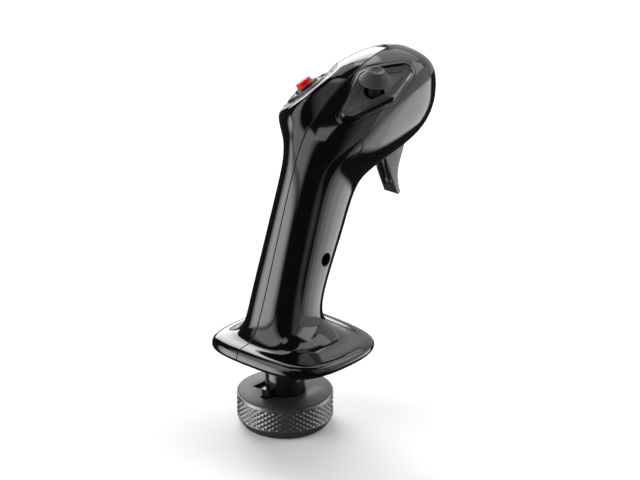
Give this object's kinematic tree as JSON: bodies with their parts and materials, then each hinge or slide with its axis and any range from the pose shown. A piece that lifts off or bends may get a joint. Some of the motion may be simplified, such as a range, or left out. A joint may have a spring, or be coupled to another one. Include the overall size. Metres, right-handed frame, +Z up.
{
  "type": "flight joystick grip",
  "caption": "Detachable flight joystick grip with trigger, thumb button, mini stick, wide hand rest and a knurled coupling nut.",
  "frame": {"origin": "centre of the coupling nut's lower face, on the coupling's axis", "axes": "+X forward, the way the trigger and the head point; +Y left; +Z up along the coupling's axis"},
  "size_m": [0.1274, 0.0717, 0.1698],
  "materials": {
    "shell": "piano-black high gloss moulded plastic",
    "panel": "dark grey satin moulded plastic with fine grain",
    "stick_rubber": "matt black rubber with fine concentric ridges",
    "bezel": "satin-gloss dark plastic",
    "black_plastic": "matt black moulded plastic",
    "red_plastic": "glossy red moulded plastic",
    "trigger_plastic": "satin dark grey plastic",
    "anodised": "satin dark grey anodised, diamond knurled",
    "neck": "gloss black coated metal",
    "steel": "zinc plated steel",
    "brass": "turned brass",
    "white_plastic": "natural acetal",
    "board": "green solder mask",
    "chip": "black epoxy",
    "cable_jacket": "matt black jacket"
  },
  "bodies": {
    "grip": {"right_shell": "shell", "left_shell": "shell", "base_cover": "shell", "base_cover_screws": "steel", "neck_tube": "neck", "neck_clamp": "steel", "connector_body": "black_plastic", "connector_pins": "brass", "stick_panel": "panel", "mini_stick_housing": "black_plastic", "mini_stick_board": "board", "button_bezel": "bezel", "button_collar": "black_plastic", "button_switch": "black_plastic", "button_board": "board", "trigger_pin": "steel", "trigger_bracket": "black_plastic", "trigger_spring": "steel", "trigger_switch": "black_plastic", "main_board": "board", "board_chips": "chip", "board_screws": "steel", "shell_screws": "steel", "threaded_inserts": "brass", "screw_plug": "shell", "wire_harness": "cable_jacket"},
    "coupling_slider": {"key_plate": "anodised", "retaining_ring": "steel", "thrust_washer": "white_plastic"},
    "coupling_ring": {"coupling_nut": "anodised"},
    "stick_yoke": {"mini_stick_yoke": "white_plastic"},
    "stick_post": {"mini_stick_shaft": "black_plastic"},
    "stick_cap": {"mini_stick_cap": "stick_rubber"},
    "red_button": {"red_button_cap": "red_plastic", "button_plunger": "white_plastic"},
    "trigger_lever": {"trigger": "trigger_plastic"}
  },
  "joints": [
    {"name": "coupling_slide", "type": "slide", "parent": "grip", "child": "coupling_slider", "axis": [0, 0, 1], "range_m": [0, 0.012]},
    {"name": "coupling_spin", "type": "hinge", "parent": "coupling_slider", "child": "coupling_ring", "pos_m": [0, 0, 0.008], "axis": [0, 0, 1], "continuous": true},
    {"name": "stick_roll", "type": "hinge", "parent": "grip", "child": "stick_yoke", "pos_m": [0.04777, -0.01152, 0.15024], "axis": [0.9939, 0, 0.11], "range_deg": [-7, 7], "stiffness_Nm_per_rad": 0.02},
    {"name": "stick_pitch", "type": "hinge", "parent": "stick_yoke", "child": "stick_post", "pos_m": [0.04777, -0.01152, 0.15024], "axis": [-0.0251, 0.9736, 0.2268], "range_deg": [-7, 7], "stiffness_Nm_per_rad": 0.02},
    {"name": "stick_press", "type": "slide", "parent": "stick_post", "child": "stick_cap", "axis": [0.1071, 0.2282, -0.9677], "range_m": [0, 0.0006], "stiffness_N_per_m": 800},
    {"name": "button_press", "type": "slide", "parent": "grip", "child": "red_button", "axis": [0.3021, -0.5151, -0.8021], "range_m": [0, 0.0012], "stiffness_N_per_m": 600},
    {"name": "trigger_pull", "type": "hinge", "parent": "grip", "child": "trigger_lever", "pos_m": [0.0735, 0, 0.13], "axis": [0, 1, 0], "range_deg": [0, 12], "stiffness_Nm_per_rad": 0.12, "springref_deg": -8.59, "deforming": ["trigger_spring"]}
  ]
}
